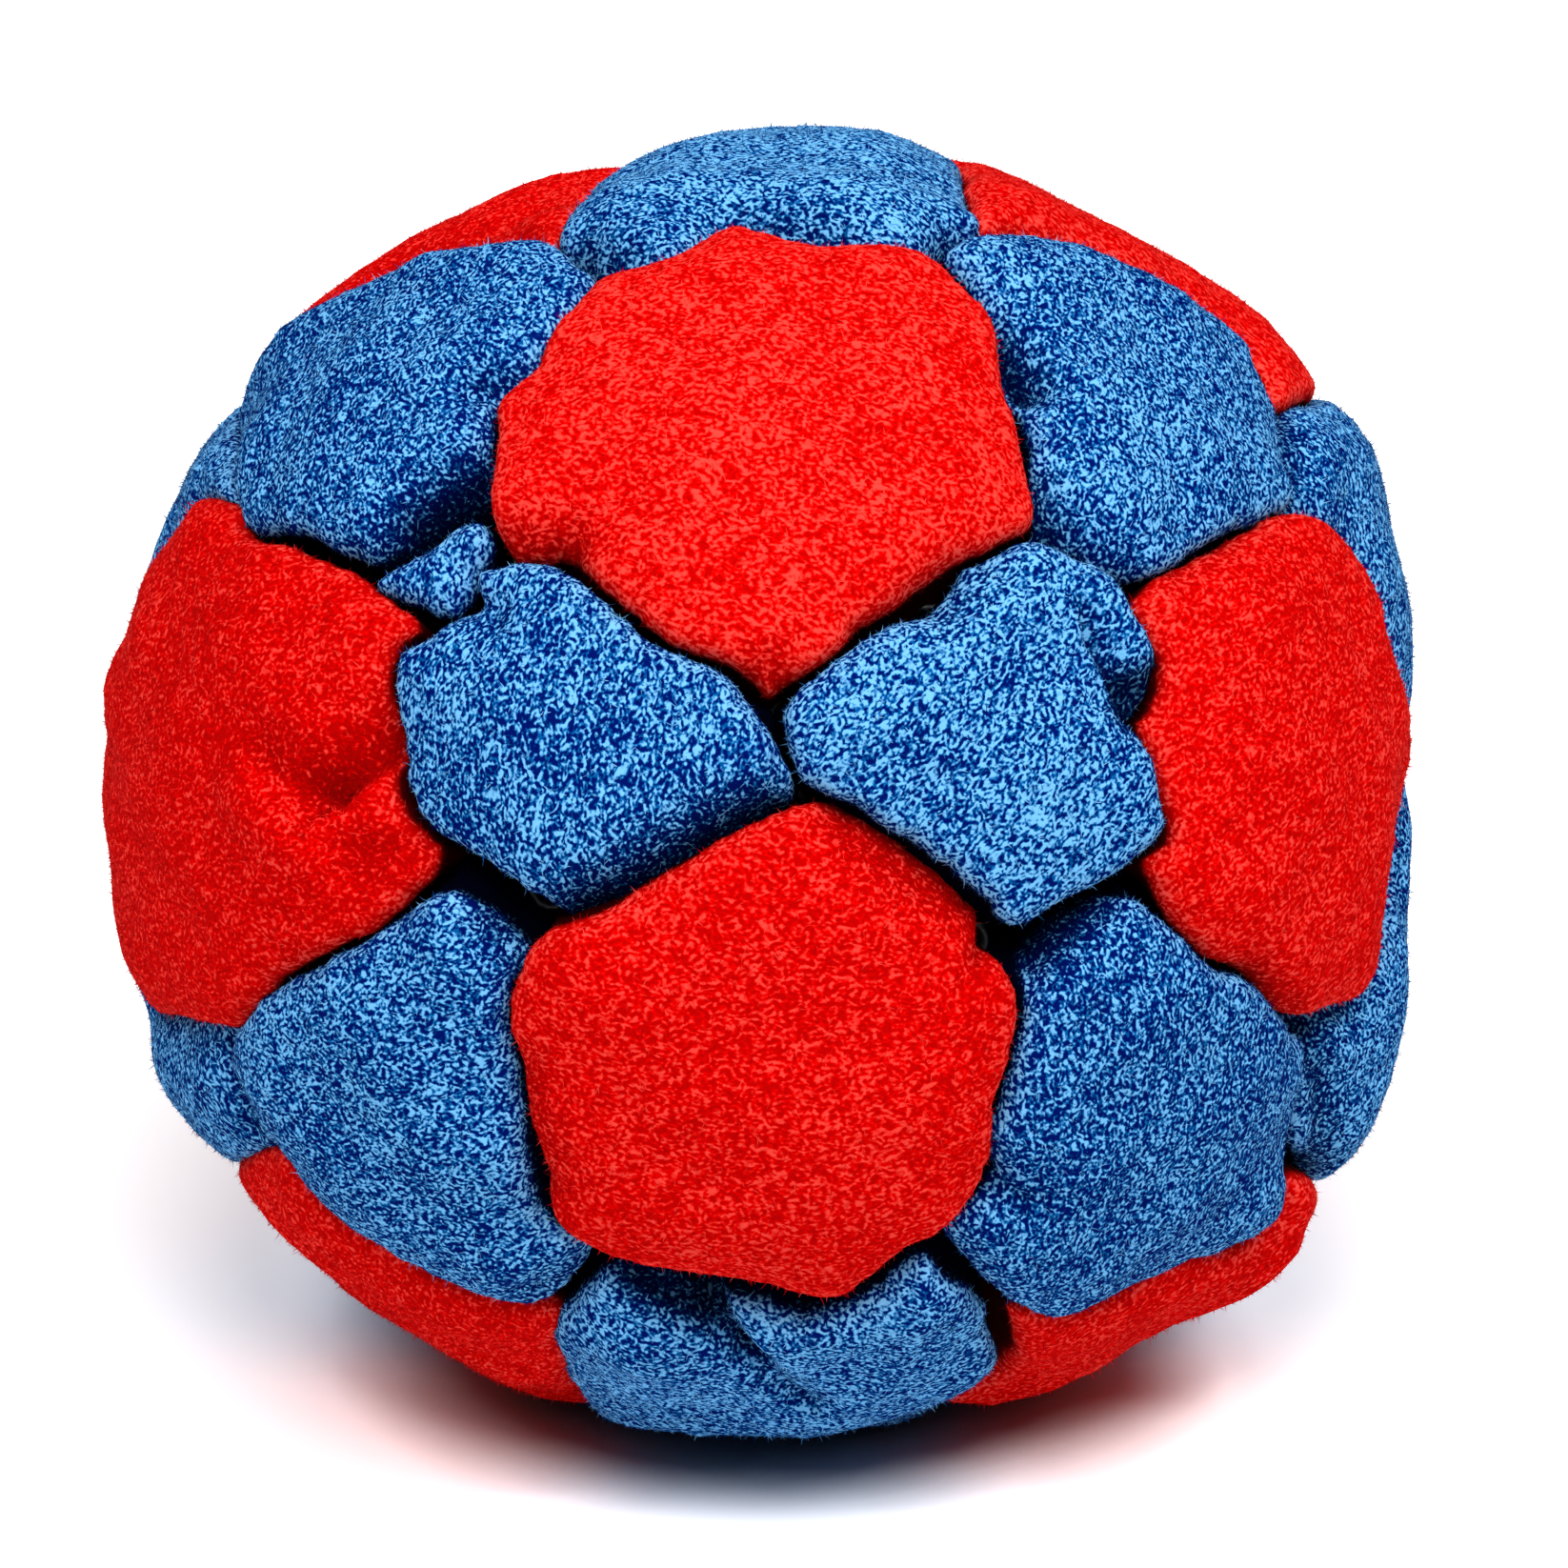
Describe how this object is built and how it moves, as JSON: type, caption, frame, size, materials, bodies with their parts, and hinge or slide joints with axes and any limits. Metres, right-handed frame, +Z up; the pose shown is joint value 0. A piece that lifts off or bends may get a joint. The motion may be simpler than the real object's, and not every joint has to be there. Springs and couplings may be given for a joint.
{
  "type": "footbag",
  "caption": "Sewn round footbag of crowned pentagon and hexagon suede panels with turned-in seams, a seam thread and a loose grain fill, resting on a small flat foot.",
  "frame": {"origin": "the middle of the flat foot that the bag rests on, straight below the bag's centre", "axes": "+Z up; -Y towards the viewer of the picture, whose front seam stands 24 degrees above the level; +X to that viewer's right"},
  "size_m": [0.0532, 0.0538, 0.052],
  "materials": {
    "red_suede": "short brushed nap, matt",
    "blue_suede": "short curly nap, matt",
    "thread": "waxed",
    "grain": "fine loose grains"
  },
  "bodies": {
    "root": {"red_pentagon_01": "red_suede", "red_pentagon_02": "red_suede", "red_pentagon_03": "red_suede", "red_pentagon_04": "red_suede", "red_pentagon_05": "red_suede", "red_pentagon_06": "red_suede", "red_pentagon_07": "red_suede", "red_pentagon_08": "red_suede", "red_pentagon_09": "red_suede", "red_pentagon_10": "red_suede", "red_pentagon_11": "red_suede", "red_pentagon_12": "red_suede", "blue_hexagon_01": "blue_suede", "blue_hexagon_02": "blue_suede", "blue_hexagon_03": "blue_suede", "blue_hexagon_04": "blue_suede", "blue_hexagon_05": "blue_suede", "blue_hexagon_06": "blue_suede", "blue_hexagon_07": "blue_suede", "blue_hexagon_08": "blue_suede", "blue_hexagon_09": "blue_suede", "blue_hexagon_10": "blue_suede", "blue_hexagon_11": "blue_suede", "blue_hexagon_12": "blue_suede", "blue_hexagon_13": "blue_suede", "blue_hexagon_14": "blue_suede", "blue_hexagon_15": "blue_suede", "blue_hexagon_16": "blue_suede", "blue_hexagon_17": "blue_suede", "blue_hexagon_18": "blue_suede", "blue_hexagon_19": "blue_suede", "blue_hexagon_20": "blue_suede", "seam_thread": "thread", "grain_fill": "grain"}
  },
  "joints": []
}
